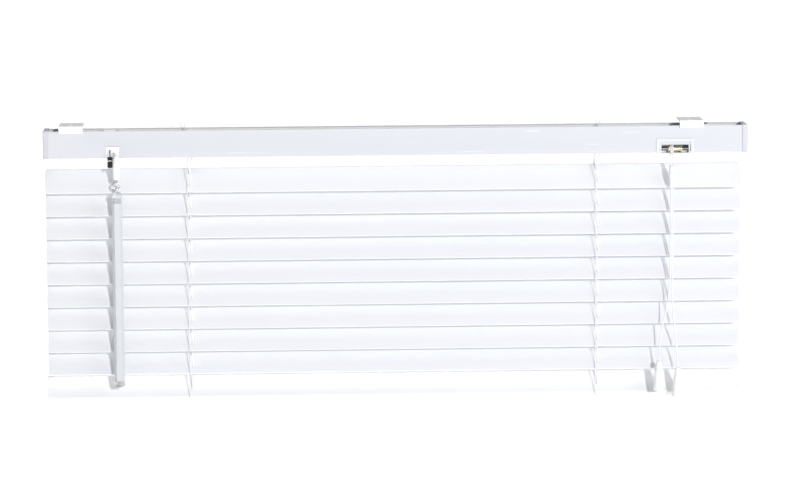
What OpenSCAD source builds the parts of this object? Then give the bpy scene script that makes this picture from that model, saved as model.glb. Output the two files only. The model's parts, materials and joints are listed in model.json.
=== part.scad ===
// Horizontal slatted window blind with a tilt wand, a cord lock and two ladders.
// Origin: middle of the four ceiling screw holes, on the ceiling plane.
// +X runs along the head rail to the right, -Y faces the room, +Z is up.

/* [Head rail] */
// Length over the end caps
rail_len = 618; // [600:1:640]
// Depth of the channel from front to back
rail_depth = 25.4; // [25:0.1:26]
// Height of the channel
rail_h = 23.8; // [23.6:0.1:24]
// Sheet thickness of the channel
rail_wall = 0.6; // [0.5:0.1:0.8]
// Width of the turned-in lips at the top of the channel
rail_lip = 2.2; // [1.5:0.1:2.6]
// Height of the channel's top edge below the ceiling
rail_drop = 4.6; // [4.5:0.1:4.8]
// Offset of the rail's middle from the middle of the brackets
rail_shift = 12.5; // [11:0.5:14]

/* [Brackets] */
// Distance between the two brackets
bracket_span = 544; // [530:1:550]
// Distance between the two screw holes of a bracket
bracket_hole_pitch = 16; // [14:1:18]
// Radius of a screw hole
bracket_hole_r = 2.1; // [1.8:0.1:2.4]
// Width of a bracket's plate
bracket_w = 21; // [18:1:24]

/* [Slats] */
// Number of slats
slat_count = 9; // [9:1:9]
// Length of a slat
slat_len = 613; // [600:1:615]
// Width of a slat across its crown
slat_w = 25; // [24.6:0.1:25.2]
// Sheet thickness of a slat
slat_t = 0.4; // [0.3:0.05:0.5]
// Radius of the crown
slat_crown_r = 55; // [50:1:70]
// Distance from one slat to the next
slat_pitch = 20.2; // [20:0.1:21]
// Height of the top slat's middle
slat_top_z = -50; // [-52:0.5:-49]
// Tilt of the slats from level, front edge down
slat_tilt = 52; // [45:1:60]
// Offset of the slats' middle from the rail's middle
slat_shift = -3; // [-4:0.5:0]
// Distance from the last slat to the bottom rail
bottom_gap = 22; // [21:0.5:24]
// Thickness of the bottom rail
bottom_t = 8; // [7:0.5:8]

/* [Ladders and cords] */
// Position of the left ladder
left_ladder_x = -171; // [-175:1:-165]
// Position of the right ladder
right_ladder_x = 188; // [184:1:190]
// Distance of a ladder string from a slat's middle line
ladder_r = 13.6; // [13.4:0.1:13.8]
// Diameter of a ladder string
string_d = 1; // [0.8:0.1:1.2]
// Diameter of a lift or pull cord
cord_d = 1.4; // [1.2:0.1:1.6]
// Offset of a lift cord from its ladder
cord_shift = 4.5; // [4.3:0.1:4.8]

/* [Tilter and wand] */
// Position of the tilter along the rail
tilter_x = -238; // [-240:1:-236]
// Lean of the worm shaft from upright
worm_lean = 25; // [24:1:26]
// Teeth of the worm wheel
wheel_teeth = 15; // [15:1:15]
// Position of the wand along the rail
wand_x = -232.5; // [-232.5:0.5:-232]
// Width of the hexagonal wand across its flats
wand_af = 8; // [7:0.5:8.4]
// Height of the wand's lower end
wand_low = -230; // [-232:1:-225]

/* [Cord lock] */
// Middle of the cord lock's mouth
lock_x = 257.5; // [256:0.5:259]
// Width of the mouth
lock_mouth_w = 28; // [27:0.5:28]

/* [Hidden] */
$fn = 48;
eps = 0.01;

ladder_x = [left_ladder_x, right_ladder_x];

// Head rail faces and heights
rail_half = rail_depth / 2;
rail_inner = rail_half - rail_wall;
rail_top_z = -rail_drop;
rail_low_z = rail_top_z - rail_h;
floor_z = rail_low_z + rail_wall;
cap_t = 1.2;
plug_len = 4;
rail_mid = rail_shift;
latch_top_z = rail_top_z - rail_wall - 0.1;

// Tilt rod and drums
rod_y = 1.5;
rod_z = -16;
rod_af = 4.8;
rod_corner_r = rod_af / 2 / cos(30);
drum_core_r = 3;
drum_flange_r = 6.8;
drum_groove = 2.4;
drum_flange_t = 1.2;
journal_r = 3.6;
running_fit = 0.05;
cradle_wall_t = 2.4;
cradle_gap = 8.6;
bearing_x = [-cradle_gap / 2 - cradle_wall_t, cradle_gap / 2 + 2.6];

// Worm gear
wheel_pitch_r = 6;
wheel_tip_r = 6.6;
wheel_root_r = 5.2;
wheel_t = 2.6;
worm_pitch_r = 2.6;
worm_tip_r = 3.1;
worm_root_r = 1.9;
worm_half = 4.6;
stem_r = 2.3;
stem_end = 26;
neck_t = 20.5;
neck_r = 1.1;
neck_half = 1;
tab_mid = tilter_x + 2.2;
tab_half = 6;
tab_top_z = -18.1;
worm_y = rod_y - (wheel_pitch_r + worm_pitch_r) * cos(worm_lean);
worm_z = rod_z + (wheel_pitch_r + worm_pitch_r) * sin(worm_lean);
neck_y = worm_y - neck_t * sin(worm_lean);
neck_z = worm_z - neck_t * cos(worm_lean);
wire_r = 0.7;
wand_y = -18.5;
loop_r = 3;
loop_z = -52;
hook_route = [
    [-236.0, -15.0, -31.0], [-235.0, -15.2, -30.4], [-234.8, -15.6, -29.4], [-235.0, -16.3, -28.0],
    [-235.3, -17.2, -26.3], [-235.2, -18.1, -24.6], [-234.7, -18.5, -23.4], [-233.9, -18.5, -22.9],
    [-233.1, -18.5, -23.2], [-232.6, -18.5, -24.2], [-232.5, -18.5, -25.6], [-232.5, -18.5, -36.0]
];

// Cord lock
roller_y = -10.8;
roller_z = -25.3;
roller_core_r = 2.2;
roller_flange_r = 3;
axle_r = 1;
pawl_y = -3.3;
pawl_z = -18.4;
pawl_pin_r = 1.2;
mouth_top_z = -21.5;
lip_top_z = rail_low_z - 0.2;
cord_x = [253.7, 255.3];

// Slats and bottom rail
slats_mid = rail_mid + slat_shift;
route_w = 4.4;
route_len = 16;
last_slat_z = slat_top_z - (slat_count - 1) * slat_pitch;
bottom_z = last_slat_z - bottom_gap;
lift_y = -2.4;
head_cord_low_z = slat_top_z - slat_pitch / 2;

// Routes of the cords, from the lock's lip down to the tassels
pull_left_route = [
    [253.7, -14.4, -28.0], [253.7, -14.4, -29.6], [253.7, -15.2, -34.0], [253.8, -16.0, -41.0],
    [253.8, -16.2, -54.0], [253.8, -16.3, -68.0], [253.7, -16.4, -84.0], [253.6, -16.5, -100.0],
    [253.5, -16.7, -116.0], [253.3, -16.9, -132.0], [252.7, -17.1, -146.0], [251.6, -17.3, -157.0],
    [249.7, -17.6, -168.0], [247.4, -17.9, -178.0], [245.4, -18.2, -188.0], [244.1, -18.5, -198.0],
    [243.3, -19.1, -207.0], [243.0, -19.6, -215.0]
];
pull_right_route = [
    [255.3, -14.4, -28.0], [255.3, -14.4, -29.6], [255.3, -15.2, -34.0], [255.3, -16.0, -41.0],
    [255.3, -16.2, -54.0], [255.3, -16.3, -68.0], [255.3, -16.4, -84.0], [255.3, -16.5, -100.0],
    [255.3, -16.7, -116.0], [255.3, -16.9, -132.0], [255.3, -17.1, -147.0], [255.5, -17.3, -160.0],
    [256.0, -17.6, -172.0], [257.1, -17.9, -183.0], [258.3, -18.2, -194.0], [259.2, -18.5, -204.0],
    [259.7, -19.1, -213.0], [259.9, -19.6, -221.0]
];
stop_y = -16.15;
// Routes of the lift cords inside the head rail, from the pull cords back to each ladder
wrap_r = roller_core_r + cord_d / 2 + 0.25;
lock_turn = concat(
    [[-14.4, -28.0], [-14.4, -27.2]],
    [for (a = [180 : -22.5 : 90]) [roller_y + wrap_r * cos(a), roller_z + wrap_r * sin(a)]]
);
head_left_turn = [
    [253.4, -8.8, -22.0], [252.2, -7.6, -22.3], [250.2, -6.9, -22.5], [246.0, -6.7, -22.6]
];
head_right_turn = [
    [254.7, -8.0, -22.0], [253.7, -6.3, -22.3], [251.4, -5.2, -22.5], [247.0, -4.9, -22.6]
];
left_cord_x = ladder_x[0] + cord_shift;
right_cord_x = ladder_x[1] + cord_shift;
left_down = [
    [left_cord_x + 8, -6.7, -22.6], [left_cord_x + 1.9, -6.2, -22.8], [left_cord_x + 0.5, -4.8, -24.4],
    [left_cord_x, -3.1, -27.5], [left_cord_x, lift_y, -31.0], [left_cord_x, lift_y, head_cord_low_z]
];
right_down = [
    [right_cord_x + 8, -4.9, -22.6], [right_cord_x + 1.9, -4.9, -22.8], [right_cord_x + 0.5, -4.3, -24.4],
    [right_cord_x, -3.1, -27.5], [right_cord_x, lift_y, -31.0], [right_cord_x, lift_y, head_cord_low_z]
];

// Colours
rail_color = [0.90, 0.91, 0.94];
slat_color = [0.95, 0.96, 0.98];
plastic_color = [0.94, 0.95, 0.96];
dark_color = [0.08, 0.08, 0.09];
brass_color = [0.80, 0.66, 0.32];
steel_color = [0.62, 0.63, 0.65];
clear_color = [0.85, 0.88, 0.90];
cord_color = [0.93, 0.93, 0.92];

function side_angle(k, sides) = 360 * k / sides;
function unit(v) = v / norm(v);
// Direction of a route at point i
function heading(p, i) = unit(p[min(i + 1, len(p) - 1)] - p[max(i - 1, 0)]);
// A tube of round section swept along the points of a route
module tube(points, r, sides = 8) {
    reference = [0.75, -0.45, 0.5];
    rings = [
        for (i = [0 : len(points) - 1])
            let (t = heading(points, i), a = unit(cross(reference, t)), b = cross(t, a))
            for (k = [0 : sides - 1])
                points[i] + r * (cos(side_angle(k, sides)) * a + sin(side_angle(k, sides)) * b)
    ];
    walls = [
        for (i = [0 : len(points) - 2], k = [0 : sides - 1])
            let (n = (k + 1) % sides)
            [i * sides + k, (i + 1) * sides + k, (i + 1) * sides + n, i * sides + n]
    ];
    start_face = [for (k = [0 : sides - 1]) k];
    end_face = [for (k = [sides - 1 : -1 : 0]) (len(points) - 1) * sides + k];
    polyhedron(points = rings, faces = concat([start_face], walls, [end_face]), convexity = 4);
}

// Extrudes a profile drawn in Y and Z along X, from x0 to x1
module along_x(x0, x1) {
    translate([x0, 0, 0])
        rotate([90, 0, 90])
            linear_extrude(x1 - x0) children();
}
// A round bar along X, from x0 to x1
module bar_x(x0, x1, r, y, z) {
    translate([x0, y, z]) rotate([0, 90, 0]) cylinder(r = r, h = x1 - x0);
}
// A block given by its two opposite corners
module block(low, high) {
    translate(low) cube(high - low);
}
// A flat rectangle with round corners, centred
module round_rect(w, h, r) {
    square([w - 2 * r, h], center = true);
    square([w, h - 2 * r], center = true);
    for (sx = [-1, 1], sy = [-1, 1])
        translate([sx * (w / 2 - r), sy * (h / 2 - r)]) circle(r);
}
// Places children in the tilter worm's own frame: Z runs down the leaning shaft
module on_worm() {
    translate([tilter_x, worm_y, worm_z])
        rotate([180 - worm_lean, 0, 0]) children();
}

module head_channel() {
    floor_slot_y = 11.4;
    notch_half = tab_half + 0.1;
    mouth_half = lock_mouth_w / 2 + 0.3;
    color(rail_color)
    difference() {
        along_x(rail_mid - rail_len / 2 + cap_t, rail_mid + rail_len / 2 - cap_t)
            difference() {
                translate([-rail_half, rail_low_z]) square([rail_depth, rail_h]);
                translate([-rail_inner, floor_z]) square([2 * rail_inner, rail_h - 2 * rail_wall]);
                translate([-rail_half + rail_lip, floor_z]) square([rail_depth - 2 * rail_lip, rail_h]);
            }
        // Slot in the floor under each ladder
        for (x = ladder_x)
            block([x - 2.5, -floor_slot_y, rail_low_z - 1], [x + 6.5, floor_slot_y, floor_z + 1]);
        // Notch for the tilter's stem
        block([tab_mid - notch_half, -rail_half - 1, rail_low_z - 1],
              [tab_mid + notch_half, -7.5, tab_top_z + 0.1]);
        // Notch for the cord lock's mouth
        block([lock_x - mouth_half, -rail_half - 1, rail_low_z - 1],
              [lock_x + mouth_half, -7.5, mouth_top_z]);
    }
}

module end_cap(side) {
    outer_x = rail_mid + side * rail_len / 2;
    clear = 0.15;
    skirt = 0.5;
    plug_half = rail_inner - clear;
    color(plastic_color)
    translate([outer_x, 0, 0])
        mirror([side > 0 ? 1 : 0, 0, 0]) {
            along_x(0, cap_t)
                translate([0, rail_low_z + rail_h / 2])
                    round_rect(rail_depth + 2 * skirt, rail_h + 2 * skirt, 1.2);
            // Plug inside the channel
            along_x(cap_t - eps, cap_t + plug_len)
                difference() {
                    translate([-plug_half, floor_z + clear])
                        square([2 * plug_half, rail_h - 2 * rail_wall - 2 * clear]);
                    translate([-plug_half + cap_t, floor_z + cap_t + clear])
                        square([2 * plug_half - 2 * cap_t, rail_h]);
                }
        }
}

// Cradle on the channel's floor that carries the drum's two journals
module cradle(x) {
    base_half = 11.8;
    slot_half = 11.2;
    wall_half = 5.4;
    wall_top = rod_z + 2.2;
    color(plastic_color)
    difference() {
        union() {
            block([x - 7.8, -base_half, floor_z], [x + 10.4, base_half, floor_z + 1.2]);
            // Collar that snaps through the floor slot
            block([x - 2.3, -11.35, rail_low_z - 0.9], [x + 6.3, 11.35, floor_z + 0.6]);
            for (b = bearing_x)
                along_x(x + b, x + b + cradle_wall_t)
                    translate([rod_y, 0])
                        union() {
                            translate([-wall_half, floor_z]) square([2 * wall_half, wall_top - floor_z]);
                            translate([0, rod_z]) circle(journal_r + 1.6);
                        }
        }
        bar_x(x - 20, x + 20, journal_r + running_fit, rod_y, rod_z);
        // Way in for the journals from above
        block([x - 20, rod_y - 2.9, rod_z], [x + 20, rod_y + 2.9, rod_z + 12]);
        // Throat for the ladder strings and the lift cord
        block([x - 1.2, -slot_half, rail_low_z - 2], [x + 5.6, slot_half, floor_z + 2]);
    }
}

module rod_hole(x0, x1) {
    along_x(x0, x1) translate([rod_y, rod_z]) circle(rod_corner_r, $fn = 6);
}

module tilt_rod() {
    color(steel_color)
        along_x(tilter_x - 6.6, ladder_x[1] + 16)
            translate([rod_y, rod_z]) circle(rod_corner_r, $fn = 6);
}

// Grooved drum: the ladder strings run in the groove, the journals in the cradle
module drum(x) {
    half = drum_groove / 2;
    left_end = bearing_x[0] - 0.6;
    right_end = bearing_x[1] + cradle_wall_t + 0.6;
    color(plastic_color)
    difference() {
        union() {
            bar_x(x - half - drum_flange_t, x - half, drum_flange_r, rod_y, rod_z);
            bar_x(x + half, x + half + drum_flange_t, drum_flange_r, rod_y, rod_z);
            bar_x(x - half - 0.1, x + half + 0.1, drum_core_r, rod_y, rod_z);
            bar_x(x + left_end, x - half, journal_r, rod_y, rod_z);
            bar_x(x + half, x + half + drum_flange_t + 0.4, journal_r, rod_y, rod_z);
            bar_x(x + bearing_x[1] - 0.3, x + right_end, journal_r, rod_y, rod_z);
            bar_x(x + half, x + right_end, drum_core_r, rod_y, rod_z);
        }
        rod_hole(x - 20, x + 20);
    }
}

module rod_retainer() {
    x = ladder_x[1] + 12.4;
    color(steel_color)
    difference() {
        bar_x(x, x + 1.6, 5, rod_y, rod_z);
        rod_hole(x - 1, x + 3);
    }
}

// One tooth of the worm wheel, pointing along -X
module tooth() {
    base_x = -wheel_root_r + 0.4;
    base_half = 0.6;
    tip_half = 0.25;
    polygon([
        [base_x, -base_half], [base_x, base_half],
        [-wheel_tip_r, tip_half], [-wheel_tip_r, -tip_half]
    ]);
}

module worm_wheel() {
    color(plastic_color)
    difference() {
        union() {
            along_x(tilter_x - wheel_t / 2, tilter_x + wheel_t / 2)
                translate([rod_y, rod_z])
                    union() {
                        circle(wheel_root_r);
                        for (k = [0 : wheel_teeth - 1])
                            rotate(side_angle(k, wheel_teeth) - worm_lean)
                                tooth();
                    }
            bar_x(tilter_x - 6.6, tilter_x + 6.6, journal_r, rod_y, rod_z);
        }
        rod_hole(tilter_x - 20, tilter_x + 20);
    }
}

// Worm: its thread climbs one tooth of the wheel for each turn
module tilter_worm() {
    lead = 2 * PI * wheel_pitch_r / wheel_teeth;
    turns = 2 * worm_half / lead;
    thread_shift = (worm_tip_r - worm_root_r) / 2;
    thread_r = (worm_tip_r + worm_root_r) / 2;
    color(dark_color)
    on_worm() {
        rotate([0, 0, -180 * turns])
            translate([0, 0, -worm_half])
                linear_extrude(2 * worm_half, twist = -360 * turns, slices = 44)
                    translate([0, thread_shift]) circle(thread_r, $fn = 16);
        translate([0, 0, -worm_half - 1.8]) cylinder(r = worm_root_r, h = 3);
        translate([0, 0, worm_half - 0.4]) cylinder(r = stem_r, h = neck_t - neck_half - worm_half + 0.4);
        // Neck for the wire hook's ring
        translate([0, 0, neck_t - neck_half - eps]) cylinder(r = neck_r, h = 2 * neck_half + 2 * eps);
        translate([0, 0, neck_t + neck_half]) cylinder(r = stem_r, h = stem_end - neck_t - neck_half);
    }
}

module tilter_housing() {
    x0 = tilter_x - 7.4;
    x1 = tilter_x + 7.4;
    color(plastic_color)
    difference() {
        union() {
            block([x0, -11.7, floor_z], [x1, 11.4, -6]);
            // Tab that fills the notch in the channel's front lower edge
            block([tab_mid - tab_half, -rail_half - 0.5, rail_low_z - 0.4],
                  [tab_mid + tab_half, -8, tab_top_z]);
        }
        bar_x(tilter_x - wheel_t / 2 - 0.4, tilter_x + wheel_t / 2 + 0.4, wheel_tip_r + 0.6, rod_y, rod_z);
        bar_x(x0 - 1, x1 + 1, journal_r + running_fit, rod_y, rod_z);
        on_worm() {
            translate([0, 0, -worm_half - 0.5]) cylinder(r = worm_tip_r + 0.5, h = 2 * worm_half + 0.7);
            translate([0, 0, -worm_half - 2.2]) cylinder(r = worm_root_r + running_fit, h = 4);
            cylinder(r = stem_r + running_fit, h = 11.5);
            // Flared way out through the tab
            translate([0, 0, 11]) cylinder(r = stem_r + 0.4, h = 14);
        }
        // Slot of the stem in the tab's face
        block([tilter_x - stem_r - 0.2, -14, rail_low_z - 1], [tilter_x + stem_r + 0.2, -11.9, -22.5]);
        // Lightening pocket behind the wheel
        block([x0 + 2, -10, -8], [x1 - 2, 9, -5]);
    }
}

// Wire from the ring round the stem's neck, up and over into the sleeve's top
module wand_hook() {
    ring_r = neck_r + wire_r + 0.2;
    color(steel_color) {
        tube(hook_route, wire_r);
        on_worm()
            translate([0, 0, neck_t])
                rotate_extrude() translate([ring_r, 0]) circle(wire_r, $fn = 16);
    }
}

module wand_sleeve() {
    top_z = -25.8;
    low_z = -46.6;
    shoulder = 6;
    color(plastic_color)
    translate([wand_x, wand_y, 0])
        difference() {
            union() {
                translate([0, 0, top_z - shoulder]) cylinder(r1 = 3, r2 = 1.7, h = shoulder);
                translate([0, 0, low_z]) cylinder(r = 3, h = top_z - shoulder - low_z);
            }
            translate([0, 0, low_z - 1]) cylinder(r = wire_r + running_fit, h = 3);
            translate([0, 0, low_z + 1.9]) cylinder(r = 1.5, h = top_z - low_z - 7);
            translate([0, 0, top_z - 6]) cylinder(r = wire_r + running_fit, h = 8);
        }
}

module wand_loop() {
    color(steel_color)
    translate([wand_x, wand_y, 0]) {
        translate([0, 0, loop_z + loop_r - 0.2]) cylinder(r = wire_r, h = -44.5 - (loop_z + loop_r - 0.2));
        translate([0, 0, -44.7]) cylinder(r = 1.3, h = 0.8);
        translate([0, 0, loop_z])
            rotate([90, 0, 0])
                rotate_extrude(angle = 330, start = 90)
                    translate([loop_r, 0]) circle(wire_r, $fn = 16);
    }
}

module wand_connector() {
    top_z = -57.4;
    low_z = -67;
    color(clear_color)
    translate([wand_x, wand_y, 0])
        difference() {
            union() {
                translate([0, 0, low_z]) cylinder(r = 4.3, h = 7.6);
                translate([0, 0, low_z + 7.6]) cylinder(r1 = 4.3, r2 = 2.6, h = 2);
                // Eye above the cap
                block([-0.9, -2.4, top_z - 1], [0.9, 2.4, loop_z - loop_r]);
                translate([-0.9, 0, loop_z - loop_r]) rotate([0, 90, 0]) cylinder(r = 2.4, h = 1.8);
            }
            translate([-3, 0, loop_z - loop_r]) rotate([0, 90, 0]) cylinder(r = wire_r + 0.3, h = 6);
            translate([0, 0, low_z - 1]) cylinder(r = 3.4, h = 5);
        }
}

module wand_rod() {
    color(clear_color)
    translate([wand_x, wand_y, 0]) {
        translate([0, 0, wand_low + 5]) cylinder(r = wand_af / 2 / cos(30), h = -67 - wand_low - 5, $fn = 6);
        translate([0, 0, -67.2]) cylinder(r = 3.35, h = 3.9);
        translate([0, 0, wand_low + 1]) cylinder(r = 2.6, h = 5);
    }
}

module wand_tip() {
    color(clear_color)
    translate([wand_x, wand_y, wand_low])
        difference() {
            union() {
                cylinder(r1 = 3.6, r2 = 4.7, h = 1.2);
                translate([0, 0, 1.2]) cylinder(r = 4.7, h = 3.8);
            }
            translate([0, 0, 1]) cylinder(r = 2.6, h = 6);
        }
}

module lock_housing() {
    half = lock_mouth_w / 2 - 0.2;
    bezel_half = 16.4;
    color(plastic_color)
    difference() {
        union() {
            block([lock_x - half, -11.9, floor_z], [lock_x + half, 8, -8]);
            block([lock_x - half, -13.3, rail_low_z - 1.2], [lock_x + half, -7.8, floor_z + 1]);
            // Bezel on the channel's face around the mouth
            block([lock_x - bezel_half, -rail_half - 0.7, -18.6], [lock_x + bezel_half, -rail_half, -16.2]);
            for (s = [-1, 1])
                block([lock_x + s * (bezel_half - 1.2) - 1.2, -rail_half - 0.7, rail_low_z - 1.2],
                      [lock_x + s * (bezel_half - 1.2) + 1.2, -rail_half, -16.3]);
            block([lock_x - bezel_half, -rail_half - 0.7, rail_low_z - 1.2],
                  [lock_x + bezel_half, -10, rail_low_z - 0.1]);
        }
        // Chamber, open above and at the mouth
        block([lock_x - half + 1.8, -10.1, floor_z + 1.2], [lock_x + half - 1.8, 6.4, -7]);
        block([lock_x - half + 1.8, -14, lip_top_z], [lock_x + half - 1.8, -7.9, mouth_top_z]);
        // Set-back face of the mouth's lip, behind the cords
        block([lock_x - half + 1.8, -14, rail_low_z - 2], [lock_x + half - 1.8, -13, mouth_top_z]);
        bar_x(lock_x - 20, lock_x + 20, axle_r + running_fit, roller_y, roller_z);
        bar_x(lock_x - 20, lock_x + 20, pawl_pin_r + running_fit, pawl_y, pawl_z);
        // Way out of the cords along the rail
        block([lock_x - 20, -8.2, -24.6], [lock_x - 10, -2.4, -20.6]);
    }
}

module lock_axle() {
    color(steel_color)
        bar_x(lock_x - lock_mouth_w / 2 + 0.3, lock_x + lock_mouth_w / 2 - 0.3, axle_r, roller_y, roller_z);
}

module lock_roller() {
    half = 6;
    color(brass_color)
    difference() {
        union() {
            bar_x(lock_x - half, lock_x + half, roller_core_r, roller_y, roller_z);
            for (s = [-1, 1])
                bar_x(lock_x + s * (half - 0.6) - 0.6, lock_x + s * (half - 0.6) + 0.6, roller_flange_r,
                      roller_y, roller_z);
        }
        bar_x(lock_x - 20, lock_x + 20, axle_r + running_fit, roller_y, roller_z);
    }
}

// Pawl that pinches the cords against the roller
module lock_pawl() {
    half = 6.6;
    nose_angle = 182;
    color(steel_color)
    union() {
        along_x(lock_x - half, lock_x + half)
            translate([pawl_y, pawl_z])
                union() {
                    circle(2.6);
                    rotate(nose_angle)
                        polygon([[0, -2.6], [5.2, -1.4], [6.4, -0.6], [6.4, 0.8], [5, 1.6], [0, 2.6]]);
                }
        bar_x(lock_x - 13, lock_x + 13, pawl_pin_r, pawl_y, pawl_z);
    }
}

// Steel clip that screws to the ceiling and hooks over the rail's front edge
module bracket(x) {
    plate_t = 1.2;
    front_y = -rail_half - 1.3;
    back_y = rail_half + 2.6;
    color(plastic_color)
    difference() {
        union() {
            block([x - bracket_w / 2, front_y, -plate_t], [x + bracket_w / 2, back_y, 0]);
            // Front lip
            block([x - bracket_w / 2, front_y, rail_top_z - 1.8],
                  [x + bracket_w / 2, front_y + 1, -plate_t + 0.1]);
            // Rear stop
            block([x - 4, back_y - 1, rail_top_z - 1.5], [x + 4, back_y, -plate_t + 0.1]);
        }
        for (s = [-1, 1])
            translate([x, s * bracket_hole_pitch / 2, -3]) cylinder(r = bracket_hole_r, h = 4);
        translate([x, 0, -3]) cylinder(r = 1.5, h = 4);
    }
}

module bracket_rivets() {
    color(steel_color)
        for (s = [-1, 1])
            translate([s * bracket_span / 2, 0, latch_top_z - 1.8]) {
                cylinder(r = 2.6, h = 0.8);
                cylinder(r = 1.45, h = 1.7 - latch_top_z);
            }
}

// Swivelling latch: its tongue slides under the channel's rear lip, its lever stands out beside the plate
module latch(side) {
    sheet_t = 0.8;
    lever_z = 2.3;
    lever_reach = 15.5;
    color(steel_color)
    translate([side * bracket_span / 2, 0, latch_top_z - sheet_t])
        mirror([side > 0 ? 1 : 0, 0, 0])
            difference() {
                union() {
                    cylinder(r = 4, h = sheet_t);
                    block([-3.4, 0, 0], [3.4, 11, sheet_t]);
                    cylinder(r = 2.6, h = 4.5);
                    rotate(205)
                        block([0, -1.8, lever_z], [lever_reach, 1.8, lever_z + sheet_t]);
                }
                translate([0, 0, -1]) cylinder(r = 1.5, h = 8);
            }
}

// A slot with round ends that runs along Y, centred
module slot_outline(w, length) {
    square([w, length - w], center = true);
    for (s = [-1, 1])
        translate([0, s * (length - w) / 2]) circle(w / 2);
}

// Crowned strip with rounded ends and a route slot at each lift cord
module slat_shape() {
    half = slat_w / 2;
    depth = sqrt(slat_crown_r * slat_crown_r - half * half);
    margin = 2;
    difference() {
        intersection() {
            along_x(slats_mid - slat_len / 2 - margin, slats_mid + slat_len / 2 + margin)
                intersection() {
                    difference() {
                        translate([0, -depth]) circle(slat_crown_r + slat_t / 2, $fn = 180);
                        translate([0, -depth]) circle(slat_crown_r - slat_t / 2, $fn = 180);
                    }
                    translate([-half - margin, -2 * margin]) square([slat_w + 2 * margin, 8]);
                }
            translate([slats_mid, 0, -3]) linear_extrude(8) round_rect(slat_len, slat_w, 4);
        }
        for (x = ladder_x)
            translate([x + cord_shift, 0, -3])
                linear_extrude(8) slot_outline(route_w, route_len);
    }
}
module slat(i) {
    color(slat_color)
        translate([0, 0, slat_top_z - (i - 1) * slat_pitch])
            rotate([slat_tilt, 0, 0]) slat_shape();
}

// Stretch of both lift cords that belongs to one slat, or to the bottom rail
module lift_cord(i) {
    top_z = slat_top_z - (i - 1.5) * slat_pitch;
    low_z = i > slat_count ? bottom_z - 1.8 : top_z - slat_pitch;
    color(cord_color)
        for (x = ladder_x)
            translate([x + cord_shift, lift_y, low_z]) cylinder(r = cord_d / 2, h = top_z - low_z, $fn = 16);
}

module lift_cord_head() {
    color(cord_color) {
        tube(concat([for (p = lock_turn) [cord_x[0], p[0], p[1]]], head_left_turn, left_down), cord_d / 2);
        tube(concat([for (p = lock_turn) [cord_x[1], p[0], p[1]]], head_right_turn, right_down), cord_d / 2);
    }
}

module bottom_profile(inset) {
    round_rect(slat_w - 2 * inset, bottom_t - 2 * inset, 2.6 - inset / 2);
}
// Places children in the tilted frame of the bottom rail, under the line of the ladder's ends
module on_bottom() {
    translate([0, 0, bottom_z]) rotate([slat_tilt, 0, 0]) translate([0, 0, -bottom_t / 2 - 0.1]) children();
}

module bottom_rail() {
    x0 = slats_mid - slat_len / 2 + 1;
    x1 = slats_mid + slat_len / 2 - 1;
    color(rail_color)
    on_bottom()
        difference() {
            along_x(x0, x1)
                difference() {
                    bottom_profile(0);
                    bottom_profile(0.7);
                }
            for (x = ladder_x)
                translate([x + cord_shift, 0, -6]) cylinder(r = 3.05, h = 4);
        }
}

module rail_cap(side) {
    outer_x = slats_mid + side * slat_len / 2;
    color(plastic_color)
    on_bottom()
        translate([outer_x, 0, 0])
            mirror([side > 0 ? 1 : 0, 0, 0]) {
                along_x(0, 1) bottom_profile(-0.2);
                along_x(1 - eps, 6) bottom_profile(0.85);
            }
}

module rail_plugs() {
    color(plastic_color)
    on_bottom()
        for (x = ladder_x)
            translate([x + cord_shift, 0, -bottom_t / 2]) {
                translate([0, 0, -1]) cylinder(r = 5, h = 1);
                translate([0, 0, -0.2]) cylinder(r = 3, h = 3);
            }
}

// Both ladders' strings on one side: from the drum past every slat's edge to the bottom rail
module ladder(side, top_z) {
    edge_y = side * ladder_r * cos(slat_tilt);
    edge_z = side * ladder_r * sin(slat_tilt);
    color(cord_color)
        for (x = ladder_x)
            tube([
                [x, edge_y, bottom_z + edge_z], [x, edge_y, slat_top_z + edge_z],
                [x, edge_y - side * 1.5, slat_top_z + edge_z + 11],
                [x, edge_y - side * 2.9, slat_top_z + edge_z + 21],
                [x, edge_y - side * 3, top_z]
            ], string_d / 2);
}

module pull_cord(route) {
    color(cord_color) tube(route, cord_d / 2);
}

module cord_stop() {
    color(cord_color)
    translate([(cord_x[0] + cord_x[1]) / 2 + 0.05, stop_y, 0])
        difference() {
            union() {
                translate([0, 0, -45]) cylinder(r1 = 2.9, r2 = 2.2, h = 5.4);
                translate([0, 0, -48]) cylinder(r = 2.9, h = 3);
                translate([0, 0, -54.6]) cylinder(r1 = 2.1, r2 = 2.9, h = 6.6);
            }
            translate([0, 0, -56]) cylinder(r = 1.75, h = 18);
        }
}

module tassel(end) {
    color(plastic_color)
    translate([end[0], end[1], end[2]])
        difference() {
            union() {
                translate([0, 0, -4]) cylinder(r1 = 3, r2 = 2, h = 6);
                translate([0, 0, -24]) cylinder(r1 = 5, r2 = 3, h = 20);
            }
            translate([0, 0, -25]) cylinder(r1 = 4.1, r2 = 2.2, h = 18);
            translate([0, 0, -8]) cylinder(r = 0.9, h = 12);
        }
}

head_channel();
end_cap(-1);  // end_cap_left
end_cap(1);  // end_cap_right
cradle(ladder_x[0]);  // cradle_left
cradle(ladder_x[1]);  // cradle_right
tilter_housing();
lock_housing();
lock_axle();
bracket(-bracket_span / 2);  // bracket_left
bracket(bracket_span / 2);  // bracket_right
bracket_rivets();
lift_cord_head();
tilt_rod();
drum(ladder_x[0]);  // drum_left
drum(ladder_x[1]);  // drum_right
rod_retainer();
worm_wheel();
tilter_worm();
wand_hook();
wand_sleeve();
wand_loop();
wand_connector();
wand_rod();
wand_tip();
lock_roller();
lock_pawl();
latch(-1);  // latch_left
latch(1);  // latch_right
for (i = [1 : slat_count])
    slat(i);
for (i = [2 : slat_count + 1])
    lift_cord(i);
bottom_rail();
rail_cap(-1);  // rail_cap_left
rail_cap(1);  // rail_cap_right
rail_plugs();
ladder(-1, floor_z + 0.8);  // ladder_front
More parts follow.
